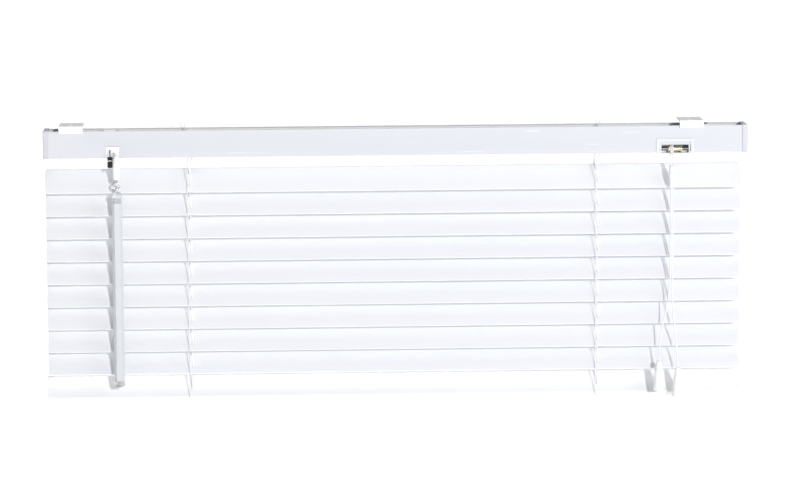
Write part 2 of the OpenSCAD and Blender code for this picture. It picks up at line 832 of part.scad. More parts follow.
ladder(1, rail_top_z - 1);  // ladder_rear
pull_cord(pull_left_route);  // pull_cord_left
pull_cord(pull_right_route);  // pull_cord_right
cord_stop();
tassel(pull_left_route[len(pull_left_route) - 1]);  // tassel_left
tassel(pull_right_route[len(pull_right_route) - 1]);  // tassel_right
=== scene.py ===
import json
import math

import bmesh
import bpy
from mathutils import Matrix, Vector


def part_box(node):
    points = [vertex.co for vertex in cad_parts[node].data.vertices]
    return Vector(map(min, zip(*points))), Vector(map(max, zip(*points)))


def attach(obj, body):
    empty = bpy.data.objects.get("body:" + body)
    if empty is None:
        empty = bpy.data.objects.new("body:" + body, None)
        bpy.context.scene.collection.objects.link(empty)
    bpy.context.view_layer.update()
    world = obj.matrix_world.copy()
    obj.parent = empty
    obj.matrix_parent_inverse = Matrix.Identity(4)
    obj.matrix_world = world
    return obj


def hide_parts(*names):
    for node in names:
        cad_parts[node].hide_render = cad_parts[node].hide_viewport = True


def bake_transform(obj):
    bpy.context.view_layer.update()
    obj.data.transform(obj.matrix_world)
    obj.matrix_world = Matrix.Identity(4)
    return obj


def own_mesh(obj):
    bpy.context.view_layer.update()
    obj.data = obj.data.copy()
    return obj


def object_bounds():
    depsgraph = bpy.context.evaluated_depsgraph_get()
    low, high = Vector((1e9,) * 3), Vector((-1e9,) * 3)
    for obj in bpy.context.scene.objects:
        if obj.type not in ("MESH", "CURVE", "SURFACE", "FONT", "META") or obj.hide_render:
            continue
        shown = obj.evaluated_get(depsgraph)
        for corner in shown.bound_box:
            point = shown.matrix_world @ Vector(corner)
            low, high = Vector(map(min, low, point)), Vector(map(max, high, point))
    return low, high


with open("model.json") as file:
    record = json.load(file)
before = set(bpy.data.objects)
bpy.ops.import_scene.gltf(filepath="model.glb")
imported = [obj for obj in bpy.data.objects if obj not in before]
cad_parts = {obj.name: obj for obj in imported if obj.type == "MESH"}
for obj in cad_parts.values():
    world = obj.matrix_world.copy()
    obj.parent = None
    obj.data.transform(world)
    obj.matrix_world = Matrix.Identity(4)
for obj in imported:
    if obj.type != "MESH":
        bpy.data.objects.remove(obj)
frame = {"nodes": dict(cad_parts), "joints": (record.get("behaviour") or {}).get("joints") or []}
cad_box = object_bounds()
nodes = frame["nodes"]
joints = {joint["name"]: joint for joint in frame["joints"]}

MM = 0.001
SLAT_COUNT = 9
SLAT_TILT = math.radians(52)
SLAT_HALF_WIDTH = 12.5 * MM
SLAT_CROWN_R = 55 * MM
SLAT_HALF_THICK = 0.2 * MM
RIM_WIDTH = 0.45 * MM
RIM_SWELL = 0.07 * MM
LADDER_R = 13.9 * MM  # from a slat's middle line to the ladder's strings
STRING_R = 0.5 * MM  # the ladder strings' radius in the CAD
YARN_R = 0.42 * MM  # and as seen
CORD_R = 0.7 * MM
CORD_Y = -1.0 * MM  # the lift cords' plane at the slats
RAIL_CORD_Y = -2.4 * MM  # and where they enter the bottom rail
PATH_STEP = 0.6 * MM  # between the rings of a cord or string
RAIL_FRONT_Y = -12.1 * MM  # just behind the head channel's front face
CAMERA_PLACE = (-0.096, -3.2, 0.359)
CAMERA_YAW, CAMERA_PITCH, CAMERA_ROLL = (math.radians(a) for a in (1.91, 8.35, -0.36))
CAMERA_LENS = 167.2
FLOOR_HALF = 120
FLOOR_DROP = 2.5  # from the blind's lowest point


# ---------------------------------------------------------------- mesh helpers
def millimetres(*point):
    """A point given in millimetres, as a vector in metres."""
    return Vector(point) * MM


def make_piece(name, vertices, faces, material, smooth=True):
    """A mesh object from plain lists, at the frame's origin."""
    mesh = bpy.data.meshes.new(name)
    mesh.from_pydata([tuple(v) for v in vertices], [], faces)
    mesh.validate()
    mesh.update()
    for polygon in mesh.polygons:
        polygon.use_smooth = smooth
    piece = bpy.data.objects.new(name, mesh)
    bpy.context.scene.collection.objects.link(piece)
    piece.data.materials.append(material)
    return piece


def recalculate(piece):
    """Turns all of a closed piece's faces outwards."""
    shell = bmesh.new()
    shell.from_mesh(piece.data)
    bmesh.ops.recalc_face_normals(shell, faces=shell.faces)
    shell.to_mesh(piece.data)
    shell.free()


def join_shapes(shapes):
    """One pair of vertex and face lists from several."""
    vertices, faces = [], []
    for shape_vertices, shape_faces in shapes:
        start = len(vertices)
        vertices += shape_vertices
        faces += [tuple(start + i for i in face) for face in shape_faces]
    return vertices, faces


def smooth_path(points, step):
    """Points about a step apart on the smooth curve through the given ones."""
    points = [Vector(p) for p in points]
    ends = [2 * points[0] - points[1], *points, 2 * points[-1] - points[-2]]
    path = []
    for a, b, c, d in zip(ends, ends[1:], ends[2:], ends[3:]):
        count = max(1, round((c - b).length / step))
        for k in range(count):
            t = k / count
            path.append(
                0.5
                * (
                    2 * b
                    + (c - a) * t
                    + (2 * a - 5 * b + 4 * c - d) * t * t
                    + (3 * b - a - 3 * c + d) * t**3
                )
            )
    return path + [points[-1]]


def sweep(path, radius, sides=12, lobes=0, depth=0.0, lay=1.0):
    """A tube along a path. Its lobes turn once in each lay length, as a twisted cord's strands do."""
    tangents = [
        (path[min(i + 1, len(path) - 1)] - path[max(i - 1, 0)]).normalized()
        for i in range(len(path))
    ]
    side = tangents[0].orthogonal().normalized()
    vertices, faces, run = [], [], 0.0
    for i, (point, tangent) in enumerate(zip(path, tangents)):
        side = (side - tangent * side.dot(tangent)).normalized()
        up = tangent.cross(side)
        run += (point - path[i - 1]).length if i else 0.0
        turn = 2 * math.pi * run / lay if lobes else 0.0
        for k in range(sides):
            angle = 2 * math.pi * k / sides
            r = radius * (1 - depth * (0.5 - 0.5 * math.cos(lobes * angle)))
            around = angle + turn
            vertices.append(point + r * (math.cos(around) * side + math.sin(around) * up))
    for i in range(len(path) - 1):
        for k in range(sides):
            n = (k + 1) % sides
            faces.append((i * sides + k, i * sides + n, (i + 1) * sides + n, (i + 1) * sides + k))
    last = (len(path) - 1) * sides
    faces.append(tuple(reversed(range(sides))))
    faces.append(tuple(last + k for k in range(sides)))
    return vertices, faces


def twisted(path, radius):
    """A cord of three twisted strands along a path."""
    return sweep(path, radius, sides=12, lobes=3, depth=0.22, lay=7 * radius)


def lathe(profile, centre, segments=48):
    """A closed solid of revolution: profile is a loop of (radius, height) about a vertical axis."""
    vertices, faces = [], []
    for r, h in profile:
        for k in range(segments):
            angle = 2 * math.pi * k / segments
            vertices.append(centre + Vector((r * math.cos(angle), r * math.sin(angle), h)))
    count = len(profile)
    for i in range(count):
        j = (i + 1) % count
        for k in range(segments):
            n = (k + 1) % segments
            faces.append((i * segments + k, i * segments + n, j * segments + n, j * segments + k))
    return vertices, faces


def rounded(profile, radius, steps=4):
    """A closed profile with each corner replaced by a short arc."""
    points = [Vector(p) for p in profile]
    out = []
    for i, corner in enumerate(points):
        back = points[i - 1] - corner
        ahead = points[(i + 1) % len(points)] - corner
        reach = min(radius, 0.45 * back.length, 0.45 * ahead.length)
        start = corner + back.normalized() * reach
        end = corner + ahead.normalized() * reach
        for k in range(steps + 1):
            t = k / steps
            out.append(start.lerp(corner, t).lerp(corner.lerp(end, t), t))
    return [(p.x, p.y) for p in out]


# ---------------------------------------------------------------- materials
class Finish:
    """A node material whose layers are noise, made one after another on a Principled shader."""

    def __init__(self, name, **sockets):
        self.material = bpy.data.materials.new(name)
        self.material.use_nodes = True
        self.tree = self.material.node_tree
        self.shader = self.tree.nodes["Principled BSDF"]
        self.coordinates = self.tree.nodes.new("ShaderNodeTexCoord").outputs["Object"]
        self.height = None
        for socket, value in sockets.items():
            self.shader.inputs[socket.replace("_", " ")].default_value = value

    def link(self, source, target):
        self.tree.links.new(source, target)

    def mapped(self, stretch):
        mapping = self.tree.nodes.new("ShaderNodeMapping")
        mapping.inputs["Scale"].default_value = stretch
        self.link(self.coordinates, mapping.inputs["Vector"])
        return mapping.outputs["Vector"]

    def noise(self, scale, detail=3.0, stretch=(1, 1, 1)):
        texture = self.tree.nodes.new("ShaderNodeTexNoise")
        texture.inputs["Scale"].default_value = scale
        texture.inputs["Detail"].default_value = detail
        self.link(self.mapped(stretch), texture.inputs["Vector"])
        return texture.outputs["Fac"]

    def ramp(self, source, stops):
        node = self.tree.nodes.new("ShaderNodeValToRGB")
        node.color_ramp.elements[0].position = stops[0][0]
        node.color_ramp.elements[0].color = (*stops[0][1], 1)
        node.color_ramp.elements[1].position = stops[-1][0]
        node.color_ramp.elements[1].color = (*stops[-1][1], 1)
        for position, colour in stops[1:-1]:
            node.color_ramp.elements.new(position).color = (*colour, 1)
        self.link(source, node.inputs["Fac"])
        return node.outputs["Color"]

    def level(self, source, low, high, start=0.3, end=0.7):
        node = self.tree.nodes.new("ShaderNodeMapRange")
        node.inputs["From Min"].default_value = start
        node.inputs["From Max"].default_value = end
        node.inputs["To Min"].default_value = low
        node.inputs["To Max"].default_value = high
        self.link(source, node.inputs["Value"])
        return node.outputs["Result"]

    def mix(self, factor, first, second):
        node = self.tree.nodes.new("ShaderNodeMix")
        node.data_type = "RGBA"
        self.link(factor, node.inputs[0])
        for socket, value in ((node.inputs[6], first), (node.inputs[7], second)):
            if isinstance(value, bpy.types.NodeSocket):
                self.link(value, socket)
            else:
                socket.default_value = (*value, 1)
        return node.outputs[2]

    def colour(self, source):
        self.link(source, self.shader.inputs["Base Color"])

    def roughness(self, source):
        self.link(source, self.shader.inputs["Roughness"])

    def bump(self, source, strength, distance):
        node = self.tree.nodes.new("ShaderNodeBump")
        node.inputs["Strength"].default_value = strength
        node.inputs["Distance"].default_value = distance
        self.link(source, node.inputs["Height"])
        if self.height is not None:
            self.link(self.height, node.inputs["Normal"])
        self.height = node.outputs["Normal"]
        self.link(self.height, self.shader.inputs["Normal"])

    def behind(self, y):
        """0 in front of the plane at y, 1 behind it."""
        split = self.tree.nodes.new("ShaderNodeSeparateXYZ")
        self.link(self.coordinates, split.inputs["Vector"])
        return self.level(split.outputs["Y"], 0.0, 1.0, y - 0.3 * MM, y + 0.3 * MM)

    def edges(self, low=0.5, high=0.56):
        """0 on flat faces to 1 on outer edges."""
        geometry = self.tree.nodes.new("ShaderNodeNewGeometry")
        return self.level(geometry.outputs["Pointiness"], 0.0, 1.0, low, high)


def lacquer(name, light, dark, worn, gloss=0.34, streak=(1, 1, 1), peel=0.25, wear=0.35):
    """Baked paint on sheet metal: cloudy tint, orange peel, dust specks and slightly worn edges."""
    finish = Finish(name, Coat_Weight=0.25, Coat_Roughness=0.2)
    cloud = finish.ramp(finish.noise(9, 4, streak), [(0.35, dark), (0.65, light)])
    grain = finish.ramp(finish.noise(700, 2), [(0.70, (0, 0, 0)), (0.78, (1, 1, 1))])
    dusty = finish.mix(finish.level(grain, 0.0, 0.10, 0, 1), cloud, worn)
    finish.colour(finish.mix(finish.level(finish.edges(), 0.0, wear, 0, 1), dusty, worn))
    finish.roughness(finish.level(finish.noise(60, 3, streak), gloss - 0.05, gloss + 0.08))
    finish.bump(finish.noise(900, 2), peel, 0.00004)
    finish.bump(finish.noise(45, 2, streak), 0.18, 0.0004)
    return finish.material


def scratched_lacquer(name, light, dark, worn):
    """A rail's paint, polished by fine lengthwise rubs. Its front is greyer; everything behind the front
    face is painted a much brighter white, as painted light on the channel's inside and back.
    """
    finish = Finish(name, Coat_Weight=0.3, Coat_Roughness=0.18)
    lengthwise = (0.08, 1, 1)
    cloud = finish.ramp(finish.noise(14, 4, lengthwise), [(0.35, dark), (0.65, light)])
    rub = finish.noise(420, 1, (0.05, 1, 1))
    rubbed = finish.level(rub, 0.0, 1.0, 0.735, 0.76)
    colour = finish.mix(rubbed, cloud, tuple(1.22 * c for c in light))
    # painted light: everything behind the front face is made much brighter, to light the channel's
    # inside and back
    colour = finish.mix(finish.behind(RAIL_FRONT_Y), colour, (0.84, 0.845, 0.86))
    finish.colour(finish.mix(finish.level(finish.edges(), 0.0, 0.4, 0, 1), colour, worn))
    finish.roughness(finish.level(finish.noise(80, 3, lengthwise), 0.3, 0.44))
    finish.bump(finish.noise(900, 2), 0.2, 0.00004)
    finish.bump(finish.noise(30, 3, lengthwise), 0.22, 0.0005)
    return finish.material


def plastic(name, light, dark, gloss=0.32, subsurface=0.06):
    """Moulded plastic: faint flow clouds, fine mould texture and scuffed edges."""
    glow = {
        "Subsurface_Weight": subsurface,
        "Subsurface_Scale": 0.002,
        "Subsurface_Radius": (1, 0.95, 0.9),
    }
    finish = Finish(name, IOR=1.49, **glow)
    cloud = finish.ramp(finish.noise(40, 4), [(0.3, dark), (0.7, light)])
    scuff = finish.level(finish.noise(260, 4), 0.0, 0.25, 0.62, 0.72)
    finish.colour(finish.mix(scuff, cloud, tuple(0.86 * c for c in dark)))
    finish.roughness(finish.level(finish.noise(150, 3), gloss - 0.06, gloss + 0.12))
    finish.bump(finish.noise(1400, 2), 0.22, 0.00004)
    finish.bump(finish.noise(120, 2), 0.12, 0.0002)
    return finish.material


def clear_plastic(name, tint, transmission):
    """Slightly milky acrylic with moulding ripples and fine rubbing."""
    coat = {"Coat_Weight": 0.4, "Coat_Roughness": 0.06}
    finish = Finish(name, Transmission_Weight=transmission, IOR=1.49, **coat)
    milky = tuple(0.93 * c for c in tint)
    finish.colour(finish.ramp(finish.noise(30, 3, (1, 1, 0.2)), [(0.3, milky), (0.7, tint)]))
    finish.roughness(finish.level(finish.noise(400, 3, (1, 1, 0.1)), 0.10, 0.26))
    finish.bump(finish.noise(220, 2, (1, 1, 0.15)), 0.15, 0.0001)
    return finish.material


def metal(name, light, dark, grain, rough=0.3, streaks=600):
    """Bare metal with drawn or turned lines along the stretch given by grain."""
    finish = Finish(name, Metallic=1.0)
    cloud = finish.ramp(finish.noise(120, 4), [(0.3, dark), (0.7, light)])
    lines = finish.noise(streaks, 4, grain)
    shade = finish.level(lines, 0.0, 0.35, 0.55, 0.75)
    finish.colour(finish.mix(shade, cloud, tuple(0.55 * c for c in dark)))
    finish.roughness(finish.level(lines, rough - 0.08, rough + 0.14))
    finish.bump(lines, 0.3, 0.00005)
    return finish.material


def fibre(name, light, dark, sheen=0.4):
    """Polyester yarn: fine filaments along the strand, soiled a little in places."""
    finish = Finish(name, Sheen_Weight=sheen, Sheen_Roughness=0.5)
    soil = finish.ramp(finish.noise(60, 4), [(0.3, dark), (0.65, light)])
    filament = finish.noise(5200, 2, (1, 1, 0.25))
    shade = finish.level(filament, 0.0, 0.35, 0.35, 0.7)
    finish.colour(finish.mix(shade, soil, tuple(0.8 * c for c in dark)))
    finish.roughness(finish.level(filament, 0.62, 0.85))
    finish.bump(filament, 0.5, 0.00012)
    return finish.material


def floor_paper(name):
    """Plain pale studio floor, lit from below as a light table is, with a barely visible tooth."""
    finish = Finish(name, Emission_Color=(1, 1, 1, 1), Emission_Strength=0.42)
    tone = finish.ramp(finish.noise(3, 3), [(0.3, (0.96, 0.96, 0.96)), (0.7, (0.98, 0.98, 0.98))])
    finish.colour(tone)
    finish.roughness(finish.level(finish.noise(50, 3), 0.8, 0.95))
    finish.bump(finish.noise(300, 2), 0.05, 0.0002)
    return finish.material


RAIL_PAINT = scratched_lacquer(
    "rail_lacquer", (0.565, 0.58, 0.625), (0.54, 0.558, 0.612), (0.68, 0.68, 0.69)
)
BOTTOM_PAINT = scratched_lacquer(
    "bottom_rail_lacquer", (0.70, 0.712, 0.745), (0.675, 0.69, 0.73), (0.78, 0.78, 0.79)
)
ALONG_SLAT = (0.15, 1, 1)
SLAT_PAINT = lacquer(
    "slat_lacquer", (0.765, 0.775, 0.80), (0.74, 0.752, 0.79), (0.82, 0.82, 0.83), 0.36, ALONG_SLAT
)
# painted highlight: a near-white lacquer on the slats' front rims, for the light their lower edges catch
SLAT_HIGHLIGHT_RIM = lacquer(
    "slat_rim_painted_highlight", (0.93, 0.935, 0.95), (0.90, 0.908, 0.93), (0.96, 0.96, 0.96), 0.24, ALONG_SLAT
)
# painted shade: a grey lacquer on the slats' rear rims, for the shade along their top edges
SLAT_SHADE_RIM = lacquer(
    "slat_rim_painted_shade", (0.50, 0.505, 0.52), (0.42, 0.428, 0.445), (0.58, 0.58, 0.59), 0.6, ALONG_SLAT
)
BRACKET_PAINT = lacquer(
    "bracket_lacquer", (0.90, 0.903, 0.91), (0.88, 0.885, 0.90), (0.80, 0.80, 0.81), 0.5, peel=0.3
)
CAP_PLASTIC = plastic("cap_plastic", (0.565, 0.578, 0.61), (0.535, 0.55, 0.585))
LOCK_PLASTIC = plastic("lock_plastic", (0.68, 0.69, 0.71), (0.645, 0.655, 0.68))
WHITE_PLASTIC = plastic("white_plastic", (0.82, 0.825, 0.838), (0.78, 0.788, 0.806))
GLOSS_PLASTIC = plastic("gloss_plastic", (0.86, 0.862, 0.87), (0.83, 0.835, 0.845), 0.2, 0.1)
BLACK_PLASTIC = plastic("black_plastic", (0.018, 0.018, 0.02), (0.01, 0.01, 0.012), 0.35, 0.0)
CLEAR_ROD = clear_plastic("clear_rod", (0.74, 0.757, 0.785), 0.22)
CLEAR_CAP = clear_plastic("clear_cap", (0.93, 0.95, 0.97), 0.8)
STEEL = metal("zinc_steel", (0.66, 0.67, 0.69), (0.50, 0.51, 0.53), (0.2, 1, 1))
DARK_STEEL = metal("dark_steel", (0.30, 0.30, 0.32), (0.16, 0.16, 0.18), (1, 1, 1), 0.36)
WIRE = metal("bright_wire", (0.80, 0.81, 0.83), (0.62, 0.63, 0.65), (1, 1, 0.1), 0.2)
BRASS = metal("turned_brass", (0.90, 0.80, 0.56), (0.68, 0.58, 0.36), (1, 0.1, 0.1), 0.24, 900)
CORD_YARN = fibre("cord_yarn", (0.90, 0.90, 0.895), (0.80, 0.80, 0.79))
STRING_YARN = fibre("string_yarn", (0.86, 0.865, 0.88), (0.74, 0.745, 0.77))


# ---------------------------------------------------------------- camera and free cords
def make_camera():
    """A long lens a little above the rail and left of its middle, turned down and to the right."""
    data = bpy.data.cameras.new("camera")
    camera = bpy.data.objects.new("camera", data)
    bpy.context.scene.collection.objects.link(camera)
    data.sensor_width = 36
    data.lens = CAMERA_LENS
    data.clip_start, data.clip_end = 0.05, 200
    camera.location = CAMERA_PLACE
    camera.matrix_world = (
        Matrix.Translation(camera.location)
        @ Matrix.Rotation(-CAMERA_YAW, 4, "Z")
        @ Matrix.Rotation(math.pi / 2 - CAMERA_PITCH, 4, "X")
        @ Matrix.Rotation(CAMERA_ROLL, 4, "Z")
    )
    bpy.context.scene.camera = camera


PULL_LEFT_ROUTE = [
    (253.7, -14.4, -28.0), (253.7, -14.4, -29.6), (253.7, -15.2, -34.0), (253.8, -16.0, -41.0),
    (253.8, -16.2, -54.0), (253.8, -16.3, -68.0), (253.7, -16.4, -84.0), (253.6, -16.5, -100.0),
    (253.5, -16.7, -116.0), (253.3, -16.9, -132.0), (252.7, -17.1, -146.0), (251.6, -17.3, -157.0),
    (249.7, -17.6, -168.0), (247.4, -17.9, -178.0), (245.4, -18.2, -188.0), (244.1, -18.5, -198.0),
    (243.3, -19.1, -207.0), (243.0, -19.6, -215.0),
]
PULL_RIGHT_ROUTE = [
    (255.3, -14.4, -28.0), (255.3, -14.4, -29.6), (255.3, -15.2, -34.0), (255.3, -16.0, -41.0),
    (255.3, -16.2, -54.0), (255.3, -16.3, -68.0), (255.3, -16.4, -84.0), (255.3, -16.5, -100.0),
    (255.3, -16.7, -116.0), (255.3, -16.9, -132.0), (255.3, -17.1, -147.0), (255.5, -17.3, -160.0),
    (256.0, -17.6, -172.0), (257.1, -17.9, -183.0), (258.3, -18.2, -194.0), (259.2, -18.5, -204.0),
    (259.7, -19.1, -213.0), (259.9, -19.6, -221.0),
]


def make_pull_cord(side, route, on_cord):
    """A pull cord from the lock's mouth to its tassel."""
    path = smooth_path([millimetres(*p) for p in route], PATH_STEP)
    vertices, faces = twisted(path, CORD_R)
    cord = make_piece(f"pull_cord_{side}_yarn", vertices, faces, CORD_YARN)
    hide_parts(f"pull_cord_{side}")
    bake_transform(cord)


def make_tassel(side, route):
    """A hollow bell with a rounded neck, two grip rings and a cord hole."""
    x, y, z = millimetres(*route[-1])
    outline = [
        (1.0, 2.0), (1.7, 2.0), (2.1, 1.2), (2.4, -1.6), (2.9, -3.2), (2.6, -4.0), (3.0, -4.7),
        (3.3, -6.0), (3.75, -11.0), (4.35, -17.0), (4.8, -21.6), (5.0, -22.6), (4.9, -23.8),
        (4.3, -24.0), (4.0, -23.4), (3.7, -18.0), (3.0, -12.0), (2.3, -7.4), (1.0, -6.8),
    ]
    profile = rounded([(r * MM, h * MM) for r, h in outline], 0.5 * MM, 3)
    vertices, faces = lathe(profile, Vector((x, y, z)), 48)
    tassel = make_piece(f"tassel_{side}_bell", vertices, faces, GLOSS_PLASTIC)
    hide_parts(f"tassel_{side}")
    knot_path = [
        millimetres(
            1000 * x + 1.5 * math.cos(a),
            1000 * y + 1.5 * math.sin(a),
            1000 * z - 8.6 + 0.5 * math.sin(2 * a),
        )
        for a in [k * math.pi / 8 for k in range(24)]
    ]
    knot = make_piece(f"tassel_{side}_knot", *twisted(knot_path, 0.95 * CORD_R), CORD_YARN)
    return [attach(tassel, "pull_cords"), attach(knot, "pull_cords")]


def make_cord_stop():
    """A teardrop bead in two snapped halves round both cords, with a seam all the way down."""
    low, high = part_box("cord_stop")
    centre = Vector(((low.x + high.x) / 2, (low.y + high.y) / 2, 0))
    top = high.z
    outline = [
        (1.75, 0), (2.15, 0), (2.35, -0.9), (2.62, -3.4), (2.85, -5.6), (2.9, -7.4), (2.72, -9.6),
        (2.42, -12.2), (2.15, -14.3), (1.95, -15.0), (1.75, -15.0),
    ]
    profile = rounded([(r * MM, top + h * MM) for r, h in outline], 0.6 * MM, 3)
    vertices, faces = lathe(profile, centre, 48)
    seam_half = 0.16 * MM
    for v in vertices:
        off_seam = abs(v.y - centre.y)
        reach = math.hypot(v.x - centre.x, off_seam)
        if off_seam < 2 * seam_half and reach > 1.9 * MM:
            v.x -= math.copysign(0.14 * MM, v.x - centre.x)
    stop = make_piece("cord_stop_bead", vertices, faces, GLOSS_PLASTIC)
    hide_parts("cord_stop")
    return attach(stop, "pull_cords")


make_camera()
cord_stop = make_cord_stop()
make_pull_cord("left", PULL_LEFT_ROUTE, [cord_stop, *make_tassel("left", PULL_LEFT_ROUTE)])
make_pull_cord("right", PULL_RIGHT_ROUTE, [cord_stop, *make_tassel("right", PULL_RIGHT_ROUTE)])


def wrap_round_roller(x):
    """A cord's way over the lock's roller, from the mouth to the back of the lock."""
    low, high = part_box("lock_roller")
    y, z = 500 * (low.y + high.y), 500 * (low.z + high.z)
    around = [math.radians(a) for a in (180, 157.5, 135, 112.5, 90)]
    arc = [(x, y + 3.15 * math.cos(a), z + 3.15 * math.sin(a)) for a in around]
    return [(x, -14.4, -28.0), (x, -14.4, -27.2), *arc]


HEAD_LEFT_ROUTE = [
    *wrap_round_roller(253.7), (253.4, -8.8, -22.0), (252.2, -7.6, -22.3), (250.2, -6.9, -22.5),
    (246.0, -6.7, -22.6), (0.0, -6.7, -22.6), (-158.5, -6.7, -22.6), (-164.6, -6.2, -22.8),
    (-166.0, -4.8, -24.4), (-166.5, -3.4, -27.5), (-167.6, -2.5, -32.0), (-168.8, -1.8, -38.0),
    (-169.0, -1.2, -44.0), (-169.0, -1.0, -50.0),
]
HEAD_RIGHT_ROUTE = [
    *wrap_round_roller(255.3), (254.7, -8.0, -22.0), (253.7, -6.3, -22.3), (251.4, -5.2, -22.5),
    (247.0, -4.9, -22.6), (224.0, -4.9, -22.6), (200.5, -4.9, -22.6), (194.4, -4.9, -22.8),
    (193.0, -4.3, -24.4), (192.5, -3.4, -27.5), (191.4, -2.5, -32.0), (190.2, -1.8, -38.0),
    (190.0, -1.2, -44.0), (190.0, -1.0, -50.0),
]


# ---------------------------------------------------------------- carried-over CAD nodes
def soften(name, width):
    """Welds a node's mesh and rounds its sharp edges."""
    node = nodes[name]
    for polygon in node.data.polygons:
        polygon.use_smooth = True
    weld = node.modifiers.new("weld", "WELD")
    weld.merge_threshold = 0.000002
    if width:
        bevel = node.modifiers.new("bevel", "BEVEL")
        bevel.width = width
        bevel.segments = 2
        bevel.limit_method = "ANGLE"
        bevel.angle_limit = math.radians(38)
        bevel.use_clamp_overlap = True
        bevel.harden_normals = False
    normals = node.modifiers.new("normals", "WEIGHTED_NORMAL")
    normals.keep_sharp = True


def dress(names, material, width=0.0):
    """Gives CAD nodes their material, and rounds their edges by a width."""
    for name in names:
        node = nodes[name]
        node.data.materials.clear()
        node.data.materials.append(material)
        soften(name, width)


dress(["head_channel"], RAIL_PAINT, 0.25 * MM)
dress(["bottom_rail"], BOTTOM_PAINT)
dress(["rail_cap_left", "rail_cap_right", "rail_plugs"], WHITE_PLASTIC, 0.2 * MM)
dress(["tilter_housing"], WHITE_PLASTIC, 0.15 * MM)
dress(["lock_housing"], LOCK_PLASTIC, 0.15 * MM)
dress(["cradle_left", "cradle_right"], WHITE_PLASTIC, 0.12 * MM)
dress(["drum_left", "drum_right"], WHITE_PLASTIC, 0.12 * MM)
dress(["worm_wheel"], GLOSS_PLASTIC, 0.05 * MM)
dress(["bracket_left", "bracket_right"], BRACKET_PAINT, 0.3 * MM)
dress(["bracket_rivets"], STEEL, 0.12 * MM)
dress(["latch_left", "latch_right"], DARK_STEEL, 0.12 * MM)
dress(["tilt_rod", "rod_retainer"], STEEL, 0.1 * MM)
dress(["lock_axle"], DARK_STEEL, 0.1 * MM)
dress(["lock_pawl"], DARK_STEEL, 0.15 * MM)
dress(["tilter_worm"], BLACK_PLASTIC, 0.1 * MM)
dress(["wand_rod"], CLEAR_ROD, 0.35 * MM)
dress(["wand_tip"], CLEAR_CAP, 0.3 * MM)


# ---------------------------------------------------------------- places in the frame
front_low, front_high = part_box("ladder_front")
LADDER_XS = (front_low.x + STRING_R, front_high.x - STRING_R)
BOTTOM_Z = joints["bottom_tilt"]["pos_m"][2]
SLAT_ZS = [joints[f"slat_{i}_tilt"]["pos_m"][2] for i in range(1, SLAT_COUNT + 1)]
SIDES = {"left": LADDER_XS[0], "right": LADDER_XS[1]}
EDGES = {"front": -1, "rear": 1}


def edge_point(x, side, z):
    """Where a ladder's string passes a slat with its middle at height z. Side: -1 in front, 1 behind."""
    reach = side * LADDER_R
    return Vector((x, reach * math.cos(SLAT_TILT), z + reach * math.sin(SLAT_TILT)))


# ---------------------------------------------------------------- slats
SLOT_SHIFT = 2.0 * MM
SLOT_HALF = 1.25 * MM
SLOT_REACH = 5.1 * MM
CORNER_R = 2.2 * MM


def slat_columns(x0, x1):
    """Stations along a slat: close together at the round corners and at the slots."""
    columns = [x0 + CORNER_R * (1 - math.cos(k * math.pi / 16)) for k in range(9)]
    columns += [x1 - CORNER_R * (1 - math.cos(k * math.pi / 16)) for k in range(9)]
    slots = []
    for x in LADDER_XS:
        middle = x + SLOT_SHIFT
        stations = [middle - SLOT_HALF * math.cos(k * math.pi / 12) for k in range(13)]
        slots.append((stations[0], stations[-1]))
        columns += stations
    columns += [x0 + k * (x1 - x0) / 40 for k in range(1, 40)]
    columns = sorted(columns)
    kept = [columns[0]]
    for x in columns[1:]:
        if x - kept[-1] > 0.02 * MM:
            kept.append(x)
    return kept, slots


def slat_rows(x, x0, x1, slots):
    """Where a slat's rows lie across it at station x. Its middle rows give way to a slot's ends."""
    inset = min(x - x0, x1 - x)
    half = SLAT_HALF_WIDTH
    if inset < CORNER_R:
        half -= CORNER_R - math.sqrt(max(0.0, CORNER_R**2 - (CORNER_R - inset) ** 2))
    reach = SLOT_REACH
    for start, end in slots:
        if start < x < end:
            off = x - (start + end) / 2
            reach += math.sqrt(max(0.0, SLOT_HALF**2 - off**2))
    rim = half - RIM_WIDTH
    outer = [rim + (half - rim) * k / 2 for k in (2, 1, 0)]
    outer += [reach + (rim - reach) * k / 5 for k in (4, 3, 2, 1, 0)]
    inner = [reach * k / 3 for k in (2, 1, 0)]
    right = outer + inner
    return [-y for y in right] + right[-2::-1], half


